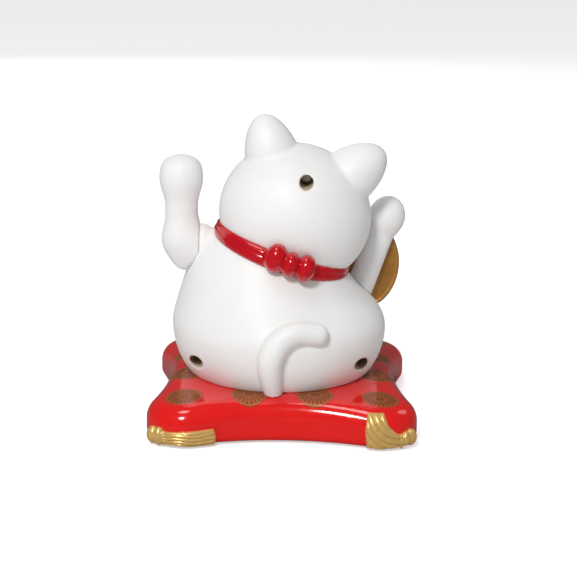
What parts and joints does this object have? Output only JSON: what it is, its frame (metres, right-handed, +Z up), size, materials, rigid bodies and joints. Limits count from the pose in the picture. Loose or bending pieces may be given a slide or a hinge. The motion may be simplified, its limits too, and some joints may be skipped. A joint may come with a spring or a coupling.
{
  "type": "beckoning cat figurine",
  "caption": "Round white beckoning cat with a waving arm, sitting on a red four-cornered cushion that holds the battery.",
  "frame": {"origin": "centre of the cushion's footprint, on the ground under the rubber feet", "axes": "+Z up, the cat looks along -Y, its left arm (the waving one) is on +X"},
  "size_m": [0.137, 0.1422, 0.1581],
  "materials": {
    "body_white": "satin",
    "face_white": "satin",
    "screw_steel": "zinc plated",
    "collar_red": "gloss",
    "bell_brass": "polished",
    "coin_gold": "satin gold",
    "shaft_steel": "turned",
    "pendulum_plastic": "moulded",
    "magnet_nickel": "nickel plated",
    "frame_plastic": "moulded",
    "bush_brass": "turned",
    "bobbin_plastic": "moulded",
    "copper_wire": "enamelled copper",
    "board_green": "solder mask",
    "capacitor_sleeve": "sleeved",
    "component_black": "moulded",
    "resistor_tan": "lacquered",
    "cushion_red": "gloss with gold print",
    "tray_red": "gloss",
    "tassel_gold": "satin gold paint",
    "foot_rubber": "matte",
    "cell_sleeve": "printed sleeve",
    "contact_steel": "nickel plated",
    "slider_black": "moulded",
    "wire_red": "insulation",
    "wire_black": "insulation"
  },
  "bodies": {
    "figure": {"rear_shell": "body_white", "front_shell": "face_white", "shell_screws": "screw_steel", "collar_rear": "collar_red", "collar_front": "collar_red", "bell": "bell_brass", "koban": "coin_gold", "coin_arm": "body_white", "coin_arm_screw": "screw_steel", "movement_frame": "frame_plastic", "frame_screws": "screw_steel", "pivot_bushes": "bush_brass", "coil_bobbin": "bobbin_plastic", "coil_winding": "copper_wire", "drive_board": "board_green", "timing_capacitor": "capacitor_sleeve", "drive_transistor": "component_black", "bias_resistor": "resistor_tan", "cushion_top": "cushion_red", "cushion_base": "tray_red", "base_screws": "screw_steel", "body_screws": "screw_steel", "corner_tassels": "tassel_gold", "rubber_feet": "foot_rubber", "battery_cell": "cell_sleeve", "battery_contact_plus": "contact_steel", "battery_spring": "contact_steel", "power_switch_body": "component_black", "lead_red": "wire_red", "lead_black": "wire_black"},
    "waving_arm": {"waving_arm_rear": "body_white", "waving_arm_front": "body_white", "pivot_shaft": "shaft_steel", "pendulum": "pendulum_plastic", "pendulum_magnet": "magnet_nickel", "balance_weight": "shaft_steel"},
    "door": {"battery_door": "tray_red"},
    "switch": {"switch_slider": "slider_black"}
  },
  "joints": [
    {"name": "arm_swing", "type": "hinge", "parent": "figure", "child": "waving_arm", "pos_m": [0.012, 0, 0.086], "axis": [1, 0, 0], "range_deg": [-20, 35]},
    {"name": "battery_door", "type": "hinge", "parent": "figure", "child": "door", "pos_m": [0, -0.0345, 0.0023], "axis": [-1, 0, 0], "range_deg": [0, 70]},
    {"name": "power_switch", "type": "slide", "parent": "figure", "child": "switch", "axis": [1, 0, 0], "range_m": [0, 0.004]}
  ]
}
